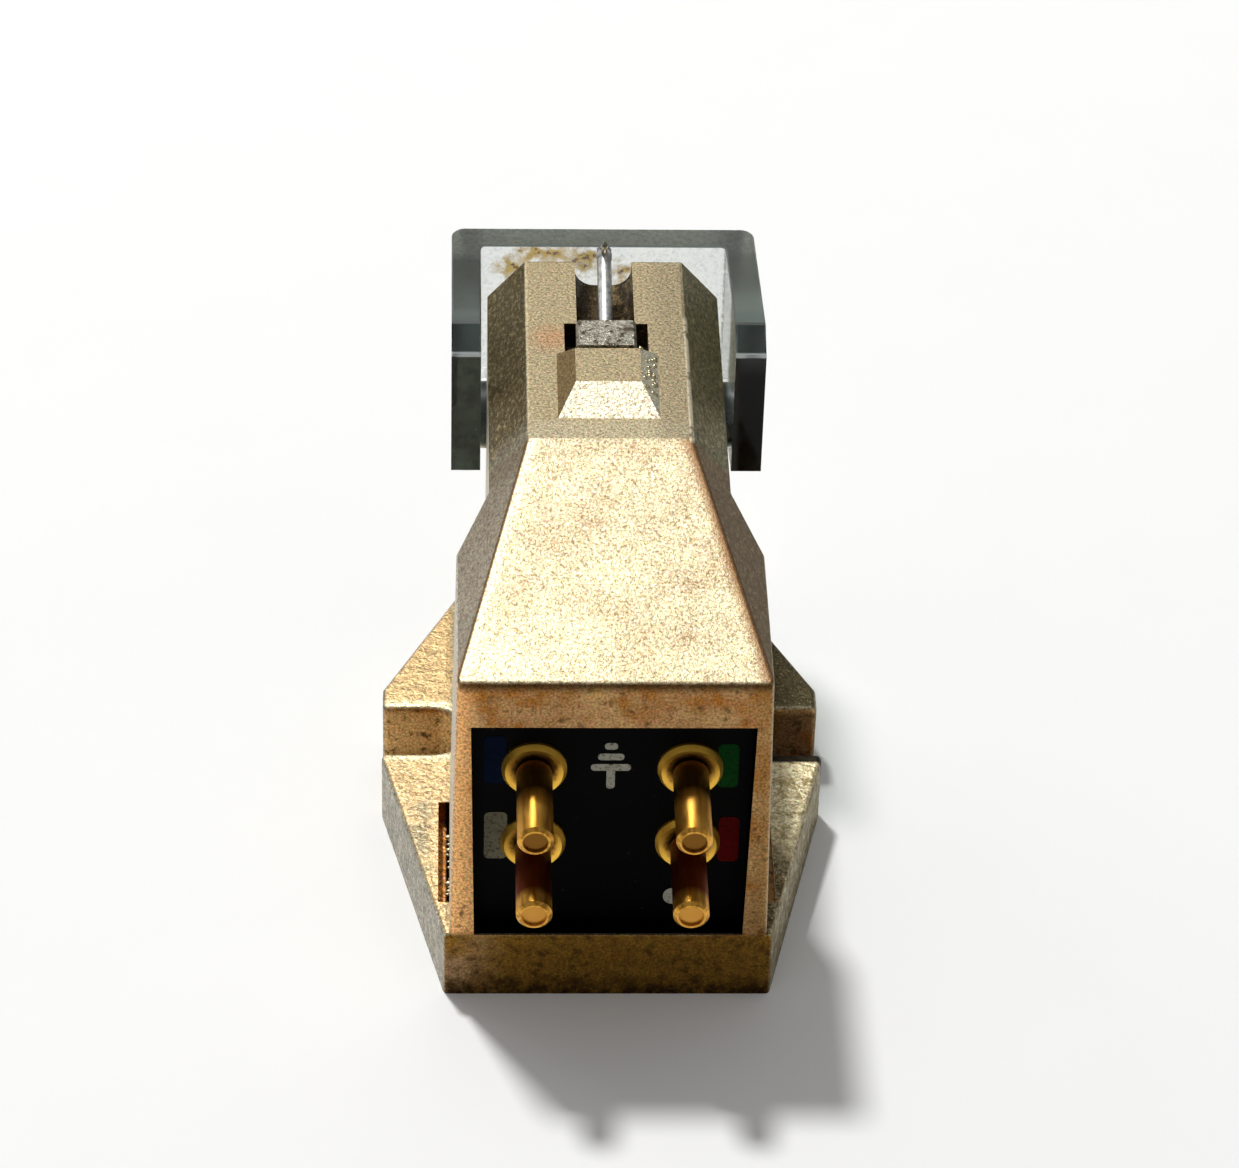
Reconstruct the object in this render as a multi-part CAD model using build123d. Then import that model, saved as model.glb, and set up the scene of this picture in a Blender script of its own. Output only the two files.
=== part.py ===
"""Moving-coil phono cartridge for a half-inch headshell mount.

The cartridge lies on its mounting face, stylus side up. +Z points from the mounting face to
the stylus, +Y from the terminal pins to the nose, and the origin is on the mounting face,
midway between the two mounting slots. Millimetres and degrees.
"""
import os
from math import cos, isclose, radians, sin, tan

from build123d import *

# Housing, a die casting. Distances named FROM_REAR start at its rear face.
HOUSING_LENGTH = 21.6
SLOTS_FROM_REAR = 11.3
FLANGE_THICKNESS = 2.85
FLANGE_REAR_WIDTH = 11.7
EAR_SPAN = 16.35
EAR_REAR_FROM_REAR = 9.65
EAR_FRONT_FROM_REAR = 13.75
SLOT_SPACING = 12.7
SLOT_WIDTH = 2.6
BOX_WIDTH = 11.34
BOX_TOP_WIDTH = 10.9
BOX_SIDE_LENGTH = 7.05
WAIST_LENGTH = 2.4
REAR_HEIGHT = 14.45
SLOPE_LENGTH = 10.5
NOSE_WIDTH = 8.6
NOSE_TOP_WIDTH = 5.84
NOSE_HEIGHT = 17.1
NOSE_CHAMFER_DROP = 1.6
EDGE_RADIUS = 0.2
TINY = 1e-4

# Relief slit in the flange along each side of the rear box, a little under its wall.
SLIT_LENGTH = 5.45
SLIT_WIDTH = 0.5
SLIT_DEPTH = 0.9
SLIT_RISE = 0.12
SLIT_FROM_REAR = 1.75
SLIT_UNDER_BOX = 0.1

# Raised boss on the nose, over the coils.
BOSS_FOOT_WIDTH = 3.66
BOSS_TOP_WIDTH = 2.36
BOSS_HEIGHT = 0.6
BOSS_FOOT_LENGTH = 3.9
BOSS_REAR_RUN = 1.42
BOSS_FRONT_RUN = 0.45
BOSS_ROOF = 0.55

# Groove for the cantilever between the two prongs of the nose.
GROOVE_WIDTH = 2.12
GROOVE_DEPTH = 1.15
GROOVE_RADIUS = 0.75

# Terminal panel and its opening in the rear face.
FRAME_TOP_BAR = 1.95
FRAME_SIDE_TOP = 0.5
FRAME_SIDE_BOTTOM = 0.88
PANEL_RECESS = 0.8
PANEL_THICKNESS = 1.6
PANEL_LEDGE = 0.5
PANEL_GAP = 0.03
CAVITY_LENGTH = 4.8

# Terminal pins.
PIN_DIAMETER = 1.27
PIN_REACH = 4.0
PIN_SPACING_X = 5.46
PIN_SPACING_Z = 3.4
PIN_ROW_HEIGHT = 3.78
PIN_ROOT_DIAMETER = 0.9
PIN_NECK_RISE = 0.05
PIN_COLLAR_DIAMETER = 2.3
PIN_COLLAR_HEIGHT = 0.32
PIN_COLLAR_DISH = 0.2
PIN_CUP_DIAMETER = 0.86
PIN_CUP_DEPTH = 0.1
PIN_END_ROUND = 0.12
PIN_TAIL_LENGTH = 1.2
PIN_HOLE_GAP = 0.01

# Generator: magnet between two yokes, seated on the floor of the nose chamber.
YOKE_WIDTH = 4.0
YOKE_SETBACK = 4.15
FRONT_YOKE_LENGTH = 1.55
REAR_YOKE_LENGTH = 1.6
MAGNET_LENGTH = 3.4
MAGNET_HEIGHT = 5.0
GENERATOR_DEPTH = 8.6
HEAD_WIDTH = 2.2
HEAD_CHAMFER = 0.1
HEAD_STANDOUT = 0.2
AXIS_DEPTH = 0.58
CHAMBER_ROOF = 0.9
CHAMBER_SIDE_GAP = 0.9
CHAMBER_END_GAP = 0.06
YOKE_TOP_GAP = 0.1
WELL_SIDE_GAP = 0.43
WELL_REAR_GAP = 0.3

# Moving system, along an axis that rises towards the nose.
CANTILEVER_ANGLE = 19.5
CANTILEVER_LENGTH = 6.45
CANTILEVER_DIAMETER = 0.53
CANTILEVER_BORE = 0.34
CANTILEVER_SOLID_END = 0.9
CANTILEVER_TAIL = 0.25
CANTILEVER_CLEARANCE = 0.11
BOND_GAP = 0.015
STYLUS_DIAMETER = 0.24
STYLUS_LENGTH = 1.2
STYLUS_CONE = 0.22
STYLUS_FLAT = 0.04
STYLUS_FROM_END = 0.3
ARMATURE_SPAN = 2.3
ARMATURE_ARM_WIDTH = 0.5
ARMATURE_THICKNESS = 0.4
ARMATURE_HUB = 1.1
ARMATURE_SETBACK = 1.0
COIL_LENGTH = 0.42
COIL_BUILD = 0.14
COIL_FROM_CENTRE = 0.62

# Suspension behind the armature.
DAMPER_DIAMETER = 1.7
DAMPER_BORE = 0.4
DAMPER_THICKNESS = 0.56
DAMPER_GAP = 0.1
WIRE_DIAMETER = 0.16
WIRE_LENGTH = 2.6
WIRE_GAP = 0.02
POLE_DIAMETER = 1.4
POLE_LENGTH = 3.2
POLE_GAP = 0.01
SET_SCREW_DIAMETER = 1.0
SET_SCREW_SOCKET = 0.5
SET_SCREW_SOCKET_DEPTH = 0.5

# Coil leads from the pin tails to the armature.
LEAD_DIAMETER = 0.16
LEAD_SIDES = 4
LEAD_BEND = 0.8
LEAD_END_OFFSET = 1.25
LEAD_END_SPACING = 0.4
LEAD_END_BEHIND_PIVOT = 1.6
LEAD_END_BELOW_PIVOT = 0.7

# Clip-on stylus guard, clear plastic.
GUARD_WALL = 1.08
GUARD_FRONT_WALL = 1.15
GUARD_SIDE_GAP = 0.26
GUARD_RIGHT_SPLAY = 0.22
GUARD_FRONT_GAP = 0.3
GUARD_LENGTH = 6.93
GUARD_HEIGHT = 6.12
GUARD_RIM = 0.42
GUARD_END_CHAMFER = 0.86
GUARD_CORNER_RADIUS = 0.5
GUARD_INNER_RADIUS = 0.2
GUARD_EDGE_CHAMFER = 0.06
PAD_DIAMETER = 2.5
PAD_FROM_END = 1.3
PAD_FROM_BOTTOM = 1.6
PAD_CLEARANCE = 0.03

# Places worked out from the sizes above.
REAR_Y = -SLOTS_FROM_REAR
NOSE_Y = REAR_Y + HOUSING_LENGTH
SLOPE_END_Y = REAR_Y + SLOPE_LENGTH
PANEL_Y = REAR_Y + PANEL_RECESS
PANEL_BACK_Y = PANEL_Y + PANEL_THICKNESS
PANEL_TOP_Z = REAR_HEIGHT - FRAME_TOP_BAR
CAVITY_END_Y = PANEL_BACK_Y + CAVITY_LENGTH
YOKE_FRONT_Y = NOSE_Y - YOKE_SETBACK
YOKE_BACK_Y = YOKE_FRONT_Y - FRONT_YOKE_LENGTH
MAGNET_BACK_Y = YOKE_BACK_Y - MAGNET_LENGTH
REAR_YOKE_BACK_Y = MAGNET_BACK_Y - REAR_YOKE_LENGTH
WELL_REAR_Y = YOKE_BACK_Y - WELL_REAR_GAP
WELL_FRONT_Y = YOKE_FRONT_Y + CHAMBER_END_GAP
HEAD_TOP_Z = NOSE_HEIGHT + HEAD_STANDOUT
CHAMBER_TOP_Z = NOSE_HEIGHT - CHAMBER_ROOF
CHAMBER_FLOOR_Z = NOSE_HEIGHT - GENERATOR_DEPTH
YOKE_SHOULDER_Z = CHAMBER_TOP_Z - YOKE_TOP_GAP
CHAMBER_WIDTH = YOKE_WIDTH + 2 * CHAMBER_SIDE_GAP
AXIS = Vector(0, cos(radians(CANTILEVER_ANGLE)), sin(radians(CANTILEVER_ANGLE)))
AXIS_UP = Vector(0, -AXIS.Z, AXIS.Y)
PIVOT_Y = YOKE_BACK_Y - ARMATURE_SETBACK
PIVOT_Z = HEAD_TOP_Z - AXIS_DEPTH - (YOKE_FRONT_Y - PIVOT_Y) * tan(radians(CANTILEVER_ANGLE))
PIVOT = Vector(0, PIVOT_Y, PIVOT_Z)
MOVING = Plane(origin=PIVOT, x_dir=(1, 0, 0), z_dir=AXIS)
TIP = PIVOT + AXIS * CANTILEVER_LENGTH
GUARD_INNER_Y = max(NOSE_Y, TIP.Y) + GUARD_FRONT_GAP
GUARD_FRONT_Y = GUARD_INNER_Y + GUARD_FRONT_WALL
GUARD_REAR_Y = GUARD_FRONT_Y - GUARD_LENGTH
GUARD_TOP_Z = NOSE_HEIGHT + GUARD_RIM
GUARD_BOTTOM_Z = GUARD_TOP_Z - GUARD_HEIGHT

# Channel by side of the panel, signal pin in the row near the mounting face.
PIN_PLACES = {
    "left_signal": (-1, 0),
    "left_return": (-1, 1),
    "right_signal": (1, 0),
    "right_return": (1, 1),
}


def mirrored_face(right_side):
    """Face between a line of points on the +X side and its mirror image."""
    left_side = [(-x, y) for x, y in reversed(right_side)]
    return make_face(Polyline(*right_side, *left_side, close=True))


def trimmed(solid, point, outward):
    """Solid without what lies beyond the plane through point."""
    return split(solid, bisect_by=Plane(origin=point, z_dir=outward), keep=Keep.BOTTOM)


def box_between(low, high):
    """Box from its lowest to its highest corner."""
    size = [b - a for a, b in zip(low, high)]
    middle = [(a + b) / 2 for a, b in zip(low, high)]
    return Pos(*middle) * Box(*size)


def across(profile_yz, width):
    """Prism of the given width along X from points in the YZ plane."""
    return extrude(Plane.YZ * make_face(Polyline(*profile_yz, close=True)), width / 2, both=True)


def on_axis(radius, start, end):
    """Cylinder on the moving system's axis, from start to end ahead of the pivot."""
    return MOVING * Pos(0, 0, (start + end) / 2) * Cylinder(radius, end - start)


def flange():
    """Mounting flange with its two ears and open-ended slots."""
    plate = extrude(
        mirrored_face([
            (FLANGE_REAR_WIDTH / 2, REAR_Y),
            (EAR_SPAN / 2, REAR_Y + EAR_REAR_FROM_REAR),
            (EAR_SPAN / 2, REAR_Y + EAR_FRONT_FROM_REAR),
            (NOSE_WIDTH / 2, NOSE_Y),
        ]),
        FLANGE_THICKNESS,
    )
    for side in (-1, 1):
        hole = Pos(side * SLOT_SPACING / 2, 0, 0) * Cylinder(SLOT_WIDTH / 2, 3 * FLANGE_THICKNESS)
        mouth = box_between(
            (SLOT_SPACING / 2, -SLOT_WIDTH / 2, -FLANGE_THICKNESS),
            (SLOT_SPACING / 2 + EAR_SPAN, SLOT_WIDTH / 2, 2 * FLANGE_THICKNESS),
        )
        plate -= hole
        plate -= mouth if side > 0 else mirror(mouth, about=Plane.YZ)
    top = [e for e in plate.edges() if isclose(e.center().Z, FLANGE_THICKNESS, abs_tol=TINY)]
    upright = plate.edges().filter_by(Axis.Z)
    corners = [e for e in upright if not isclose(abs(e.center().X), SLOT_SPACING / 2, abs_tol=TINY)]
    return fillet(top + corners, EDGE_RADIUS)


def rear_block():
    """Rear box that narrows to the nose, under the long slope and its side facets."""
    waist_y = REAR_Y + BOX_SIDE_LENGTH
    block = extrude(
        mirrored_face([
            (BOX_WIDTH / 2, REAR_Y),
            (BOX_WIDTH / 2, waist_y),
            (NOSE_WIDTH / 2, waist_y + WAIST_LENGTH),
            (NOSE_WIDTH / 2, SLOPE_END_Y),
        ]),
        NOSE_HEIGHT,
    )
    rise = NOSE_HEIGHT - REAR_HEIGHT
    block = trimmed(block, (0, REAR_Y, REAR_HEIGHT), (0, -rise, SLOPE_LENGTH))
    draft = (BOX_WIDTH - BOX_TOP_WIDTH) / 2
    corner = Vector(BOX_TOP_WIDTH / 2, REAR_Y, REAR_HEIGHT)
    slope_end = Vector(NOSE_TOP_WIDTH / 2, SLOPE_END_Y, NOSE_HEIGHT)
    chamfer_foot = Vector(NOSE_WIDTH / 2, SLOPE_END_Y, NOSE_HEIGHT - NOSE_CHAMFER_DROP)
    facet = (chamfer_foot - corner).cross(slope_end - corner)
    for side in (-1, 1):
        base_edge = (side * BOX_WIDTH / 2, REAR_Y, FLANGE_THICKNESS)
        block = trimmed(block, base_edge, (side * (REAR_HEIGHT - FLANGE_THICKNESS), 0, draft))
        block = trimmed(block, (side * corner.X, corner.Y, corner.Z), (side * facet.X, facet.Y, facet.Z))
    return block


def nose_block():
    """Nose with a flat top and a long chamfer on each side."""
    shoulder_z = NOSE_HEIGHT - NOSE_CHAMFER_DROP
    section = mirrored_face([
        (NOSE_WIDTH / 2, 0),
        (NOSE_WIDTH / 2, shoulder_z),
        (NOSE_TOP_WIDTH / 2, NOSE_HEIGHT),
    ])
    start = Plane(origin=(0, NOSE_Y, 0), x_dir=(1, 0, 0), z_dir=(0, -1, 0))
    return extrude(start * section, NOSE_Y - SLOPE_END_Y)


def rounded_core():
    """Rear block and nose as one, their edges rounded apart from the low creases of the nose."""
    core = rear_block() + nose_block()
    rounded = []
    for edge in core.edges():
        middle = edge.center()
        upright = abs((edge % 0.5).Z) > cos(radians(5))
        at_base = middle.Z < EDGE_RADIUS
        low_crease = isclose(abs(middle.X), NOSE_WIDTH / 2, abs_tol=TINY) and not upright
        cross_crease = isclose(middle.Y, SLOPE_END_Y, abs_tol=TINY) and abs(middle.X) > TINY
        if not (at_base or low_crease or cross_crease):
            rounded.append(edge)
    return fillet(rounded, EDGE_RADIUS)


def boss():
    """Raised boss with four sloping sides, its front at the edge of the well."""
    foot_rear = WELL_REAR_Y - BOSS_FOOT_LENGTH
    top_rear = foot_rear + BOSS_REAR_RUN
    top_front = WELL_REAR_Y - BOSS_FRONT_RUN
    foot = Pos(0, (foot_rear + WELL_REAR_Y) / 2, NOSE_HEIGHT) * Rectangle(BOSS_FOOT_WIDTH, BOSS_FOOT_LENGTH)
    top = Pos(0, (top_rear + top_front) / 2, NOSE_HEIGHT + BOSS_HEIGHT) * Rectangle(
        BOSS_TOP_WIDTH, top_front - top_rear
    )
    return loft([foot.face(), top.face()], ruled=True)


def panel_face(gap):
    """Outline of the terminal panel's opening, smaller by gap all round, seen from the rear."""
    bottom = BOX_WIDTH / 2 - FRAME_SIDE_BOTTOM - gap
    top = BOX_TOP_WIDTH / 2 - FRAME_SIDE_TOP - gap
    return mirrored_face([(bottom, FLANGE_THICKNESS + gap), (top, PANEL_TOP_Z - gap)])


def panel_prism(gap, start_y, end_y):
    """Prism of the panel's outline between two places along Y."""
    plane = Plane(origin=(0, end_y, 0), x_dir=(1, 0, 0), z_dir=(0, -1, 0))
    return extrude(plane * panel_face(gap), end_y - start_y)


def generator_chamber():
    """Hollow of the nose: chamber, well for the yoke's head, and room under the boss."""
    slope = (NOSE_HEIGHT - REAR_HEIGHT) / SLOPE_LENGTH
    rear_roof_z = REAR_HEIGHT + slope * (CAVITY_END_Y - REAR_Y) - CHAMBER_ROOF
    chamber = across([
        (CAVITY_END_Y, CHAMBER_FLOOR_Z),
        (WELL_FRONT_Y, CHAMBER_FLOOR_Z),
        (WELL_FRONT_Y, CHAMBER_TOP_Z),
        (SLOPE_END_Y, CHAMBER_TOP_Z),
        (CAVITY_END_Y, rear_roof_z),
    ], CHAMBER_WIDTH)
    well_half = HEAD_WIDTH / 2 + WELL_SIDE_GAP
    well = box_between((-well_half, WELL_REAR_Y, CHAMBER_FLOOR_Z), (well_half, WELL_FRONT_Y, 2 * NOSE_HEIGHT))
    room_half = ARMATURE_SPAN / 2 + DAMPER_GAP
    room = box_between(
        (-room_half, PIVOT_Y - room_half, CHAMBER_FLOOR_Z),
        (room_half, WELL_REAR_Y + WELL_REAR_GAP, NOSE_HEIGHT + BOSS_HEIGHT - BOSS_ROOF),
    )
    return chamber + well + room


def cantilever_groove():
    """Round-bottomed groove from the well to the front of the nose."""
    floor_z = NOSE_HEIGHT - GROOVE_DEPTH
    plane = Plane(origin=(0, NOSE_Y + GROOVE_WIDTH, 0), x_dir=(1, 0, 0), z_dir=(0, -1, 0))
    section = mirrored_face([(GROOVE_WIDTH / 2, floor_z), (GROOVE_WIDTH / 2, NOSE_HEIGHT + GROOVE_DEPTH)])
    low_corners = section.vertices().sort_by(Axis.Y)[:2]
    return extrude(plane * fillet(low_corners, GROOVE_RADIUS), NOSE_Y + GROOVE_WIDTH - WELL_FRONT_Y)


def body_housing():
    """Faceted one-piece casting: flange, rear box, nose, boss and hollows."""
    block = flange() + rounded_core() + boss()
    ledge = PANEL_GAP + PANEL_LEDGE
    block -= panel_prism(0, REAR_Y - PANEL_RECESS, PANEL_BACK_Y)
    block -= panel_prism(ledge, PANEL_BACK_Y, CAVITY_END_Y)
    block -= generator_chamber()
    block -= cantilever_groove()
    slit_inner = BOX_WIDTH / 2 - SLIT_UNDER_BOX
    slit = box_between(
        (slit_inner, REAR_Y + SLIT_FROM_REAR, FLANGE_THICKNESS - SLIT_DEPTH),
        (slit_inner + SLIT_WIDTH, REAR_Y + SLIT_FROM_REAR + SLIT_LENGTH, FLANGE_THICKNESS + SLIT_RISE),
    )
    return block - slit - mirror(slit, about=Plane.YZ)


def pin_place(side, row):
    """Point on the panel's face where a terminal pin stands."""
    row_z = FLANGE_THICKNESS + PIN_ROW_HEIGHT + row * PIN_SPACING_Z
    return (side * PIN_SPACING_X / 2, PANEL_Y, row_z)


def pin_plate():
    """Moulded terminal panel with a hole for each pin."""
    plate = panel_prism(PANEL_GAP, PANEL_Y, PANEL_BACK_Y)
    for side, row in PIN_PLACES.values():
        hole = Cylinder(PIN_ROOT_DIAMETER / 2 + PIN_HOLE_GAP, 4 * PANEL_THICKNESS, rotation=(90, 0, 0))
        plate -= Pos(*pin_place(side, row)) * hole
    return plate


def terminal_pin(side, row):
    """Turned pin: root through the panel with its solder tail, dished collar, neck, and a cupped end."""
    root = PIN_ROOT_DIAMETER / 2
    shank = PIN_DIAMETER / 2
    collar = PIN_COLLAR_DIAMETER / 2
    dish_z = PIN_COLLAR_HEIGHT - PIN_COLLAR_DISH
    neck_z = PIN_COLLAR_HEIGHT + PIN_NECK_RISE
    rim = collar - (collar - shank) / 4
    profile = Polyline(
        (0, -PANEL_THICKNESS - PIN_TAIL_LENGTH),
        (root, -PANEL_THICKNESS - PIN_TAIL_LENGTH),
        (root, 0),
        (collar, 0),
        (collar, dish_z),
        (rim, PIN_COLLAR_HEIGHT),
        (root, dish_z),
        (root, neck_z),
        (shank, neck_z),
        (shank, PIN_REACH - PIN_END_ROUND),
        (shank - PIN_END_ROUND, PIN_REACH),
        (PIN_CUP_DIAMETER / 2, PIN_REACH),
        (PIN_CUP_DIAMETER / 2, PIN_REACH - PIN_CUP_DEPTH),
        (0, PIN_REACH - PIN_CUP_DEPTH),
        close=True,
    )
    outward = Plane(origin=pin_place(side, row), x_dir=(1, 0, 0), z_dir=(0, -1, 0))
    return outward * revolve(Plane.XZ * make_face(profile), Axis.Z)


def front_yoke():
    """Front pole plate, its chamfered head standing in the well, with the cantilever's hole."""
    section = mirrored_face([
        (YOKE_WIDTH / 2, CHAMBER_FLOOR_Z),
        (YOKE_WIDTH / 2, YOKE_SHOULDER_Z),
        (HEAD_WIDTH / 2, YOKE_SHOULDER_Z),
        (HEAD_WIDTH / 2, HEAD_TOP_Z - HEAD_CHAMFER),
        (HEAD_WIDTH / 2 - HEAD_CHAMFER, HEAD_TOP_Z),
    ])
    plane = Plane(origin=(0, YOKE_FRONT_Y, 0), x_dir=(1, 0, 0), z_dir=(0, -1, 0))
    hole = on_axis(CANTILEVER_DIAMETER / 2 + CANTILEVER_CLEARANCE, 0, 2 * CANTILEVER_LENGTH)
    return extrude(plane * section, FRONT_YOKE_LENGTH) - hole


def magnet():
    """Block magnet between the yokes."""
    half = YOKE_WIDTH / 2
    return box_between(
        (-half, MAGNET_BACK_Y, CHAMBER_FLOOR_Z),
        (half, YOKE_BACK_Y, CHAMBER_FLOOR_Z + MAGNET_HEIGHT),
    )


def set_screw_place():
    """Point on the moving system's axis in the middle of the rear yoke."""
    y = REAR_YOKE_BACK_Y + REAR_YOKE_LENGTH / 2
    return (0, y, PIVOT_Z + (y - PIVOT_Y) * tan(radians(CANTILEVER_ANGLE)))


def rear_yoke():
    """Rear pole plate, bored for the pole piece and tapped for its set screw."""
    half = YOKE_WIDTH / 2
    plate = box_between(
        (-half, REAR_YOKE_BACK_Y, CHAMBER_FLOOR_Z),
        (half, MAGNET_BACK_Y, YOKE_SHOULDER_Z),
    )
    plate -= on_axis(POLE_DIAMETER / 2 + POLE_GAP, -4 * POLE_LENGTH, 0)
    _, y, z = set_screw_place()
    bore = Cylinder(SET_SCREW_DIAMETER / 2 + POLE_GAP, YOKE_WIDTH, rotation=(0, 90, 0))
    return plate - Pos(half, y, z) * bore


def set_screw():
    """Socket set screw in the side of the rear yoke, its point on the pole piece."""
    _, y, z = set_screw_place()
    point_x = POLE_DIAMETER / 2 + POLE_GAP
    head_x = YOKE_WIDTH / 2
    screw = Pos((point_x + head_x) / 2, y, z) * Cylinder(
        SET_SCREW_DIAMETER / 2, head_x - point_x, rotation=(0, 90, 0)
    )
    mouth = Plane(origin=(head_x, y, z), z_dir=(-1, 0, 0))
    socket = extrude(mouth * RegularPolygon(SET_SCREW_SOCKET / 2, 6, major_radius=False), SET_SCREW_SOCKET_DEPTH)
    return screw - socket


def damper_front():
    """Place of the damper's front face on the axis, behind the coils."""
    return -ARMATURE_THICKNESS / 2 - COIL_BUILD - DAMPER_GAP


def damper():
    """Rubber ring between the armature and the pole piece."""
    front = damper_front()
    ring = on_axis(DAMPER_DIAMETER / 2, front - DAMPER_THICKNESS, front)
    return ring - on_axis(DAMPER_BORE / 2, front - 2 * DAMPER_THICKNESS, front + DAMPER_THICKNESS)


def pole_piece():
    """Round pole behind the damper, clamped in the rear yoke and bored for the wire."""
    front = damper_front() - DAMPER_THICKNESS - DAMPER_GAP
    pole = on_axis(POLE_DIAMETER / 2, front - POLE_LENGTH, front)
    return pole - on_axis(WIRE_DIAMETER / 2 + WIRE_GAP, front - 2 * POLE_LENGTH, front + POLE_LENGTH)


def suspension_wire():
    """Fine steel wire from the root of the cantilever into the pole piece."""
    front = -CANTILEVER_TAIL - DAMPER_GAP
    return on_axis(WIRE_DIAMETER / 2, front - WIRE_LENGTH, front)


def cantilever():
    """Tube that closes towards its tip, cross-bored there for the stylus."""
    radius = CANTILEVER_DIAMETER / 2
    tube = on_axis(radius, -CANTILEVER_TAIL, CANTILEVER_LENGTH)
    tube -= on_axis(CANTILEVER_BORE / 2, -2 * CANTILEVER_TAIL, CANTILEVER_LENGTH - CANTILEVER_SOLID_END)
    across_tip = Plane(origin=stylus_foot(), z_dir=AXIS_UP)
    return tube - across_tip * Cylinder(STYLUS_DIAMETER / 2 + BOND_GAP, 4 * CANTILEVER_DIAMETER)


def stylus_foot():
    """Point on the cantilever's axis that the stylus stands through."""
    return PIVOT + AXIS * (CANTILEVER_LENGTH - STYLUS_FROM_END)


def stylus_tip():
    """Diamond: a shank through the cantilever with a cone at its upper end."""
    shank = STYLUS_DIAMETER / 2
    foot = -CANTILEVER_DIAMETER / 2
    profile = Polyline(
        (0, foot),
        (shank, foot),
        (shank, foot + STYLUS_LENGTH - STYLUS_CONE),
        (STYLUS_FLAT / 2, foot + STYLUS_LENGTH),
        (0, foot + STYLUS_LENGTH),
        close=True,
    )
    upright = Plane(origin=stylus_foot(), x_dir=(1, 0, 0), z_dir=AXIS_UP)
    return upright * revolve(Plane.XZ * make_face(profile), Axis.Z)


def armature():
    """Cross-shaped coil former, its arms at 45 degrees, on the root of the cantilever."""
    cross = Cylinder(ARMATURE_HUB / 2, ARMATURE_THICKNESS)
    for angle in (45, 135):
        cross += Rot(0, 0, angle) * Box(ARMATURE_SPAN, ARMATURE_ARM_WIDTH, ARMATURE_THICKNESS)
    cross -= Cylinder(CANTILEVER_DIAMETER / 2 + BOND_GAP, 2 * ARMATURE_THICKNESS)
    return MOVING * cross


def coil(angle):
    """One channel's winding: a coil on each of two opposite arms of the former."""
    middle = COIL_FROM_CENTRE + COIL_LENGTH / 2
    winding = Box(COIL_LENGTH, ARMATURE_ARM_WIDTH + 2 * COIL_BUILD, ARMATURE_THICKNESS + 2 * COIL_BUILD)
    winding -= Box(2 * COIL_LENGTH, ARMATURE_ARM_WIDTH, ARMATURE_THICKNESS)
    turned = MOVING * Rot(0, 0, angle)
    return Compound([turned * Pos(middle, 0, 0) * winding, turned * Pos(-middle, 0, 0) * winding])


def coil_lead(side, row):
    """Fine insulated lead from a pin's tail, past the rear yoke, to the armature."""
    pin_x, _, pin_z = pin_place(side, row)
    tail_y = PANEL_BACK_Y + PIN_TAIL_LENGTH
    pass_x = side * (YOKE_WIDTH / 2 + CHAMBER_SIDE_GAP / 2)
    end_z = PIVOT_Z - LEAD_END_BELOW_PIVOT + (row - 0.5) * LEAD_END_SPACING
    end_y = PIVOT_Y - LEAD_END_BEHIND_PIVOT
    floor_z = CHAMBER_FLOOR_Z + LEAD_BEND + row * LEAD_END_SPACING
    points = [
        (pin_x, tail_y, pin_z),
        (pin_x, tail_y + 2 * LEAD_BEND, pin_z),
        (pass_x, CAVITY_END_Y, floor_z),
        (pass_x, REAR_YOKE_BACK_Y, end_z),
        (pass_x, end_y, end_z),
        (side * LEAD_END_OFFSET, end_y, end_z),
    ]
    path = FilletPolyline(*points, radius=LEAD_BEND)
    start = Plane(origin=path @ 0, z_dir=path % 0)
    return sweep(start * RegularPolygon(LEAD_DIAMETER / 2, LEAD_SIDES), path=path)


def guard_side_profile():
    """Points of the guard's side view: flat rim, sloping corner and upright rear end."""
    return [
        (GUARD_REAR_Y, GUARD_BOTTOM_Z),
        (GUARD_FRONT_Y, GUARD_BOTTOM_Z),
        (GUARD_FRONT_Y, GUARD_TOP_Z),
        (GUARD_REAR_Y + GUARD_END_CHAMFER, GUARD_TOP_Z),
        (GUARD_REAR_Y, GUARD_TOP_Z - GUARD_END_CHAMFER),
    ]


def guard_prism(half_width, front_y, corner_radius):
    """Upright prism of the guard's plan, its right side leaning out to the rear, front corners rounded."""
    rear_y = GUARD_REAR_Y - GUARD_LENGTH
    lean = GUARD_RIGHT_SPLAY * (front_y - rear_y) / GUARD_LENGTH
    outline = Polyline(
        (-half_width, rear_y), (half_width + lean, rear_y), (half_width, front_y), (-half_width, front_y), close=True
    )
    prism = extrude(Pos(0, 0, GUARD_BOTTOM_Z - GUARD_HEIGHT) * make_face(outline), 3 * GUARD_HEIGHT)
    corners = [e for e in prism.edges().filter_by(Axis.Z) if e.center().Y > GUARD_REAR_Y]
    return fillet(corners, corner_radius)


def stylus_guard():
    """U-shaped guard round the nose, a round grip pad inside each arm, the right arm sprung open."""
    inner = NOSE_WIDTH / 2 + GUARD_SIDE_GAP
    outer = inner + GUARD_WALL
    block = across(guard_side_profile(), 4 * outer) & guard_prism(outer, GUARD_FRONT_Y, GUARD_CORNER_RADIUS)
    block -= guard_prism(inner, GUARD_INNER_Y, GUARD_INNER_RADIUS)
    rim = [e for e in block.edges() if e.center().Z > GUARD_TOP_Z - GUARD_END_CHAMFER - TINY]
    block = chamfer(rim, GUARD_EDGE_CHAMFER)
    pad_y = GUARD_REAR_Y + PAD_FROM_END
    pad_z = GUARD_BOTTOM_Z + PAD_FROM_BOTTOM
    face_x = NOSE_WIDTH / 2 + PAD_CLEARANCE
    for side in (-1, 1):
        pad = Cylinder(PAD_DIAMETER / 2, outer - GUARD_WALL / 2 - face_x, rotation=(0, 90, 0))
        block += Pos(side * (face_x + outer - GUARD_WALL / 2) / 2, pad_y, pad_z) * pad
    return block


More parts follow.
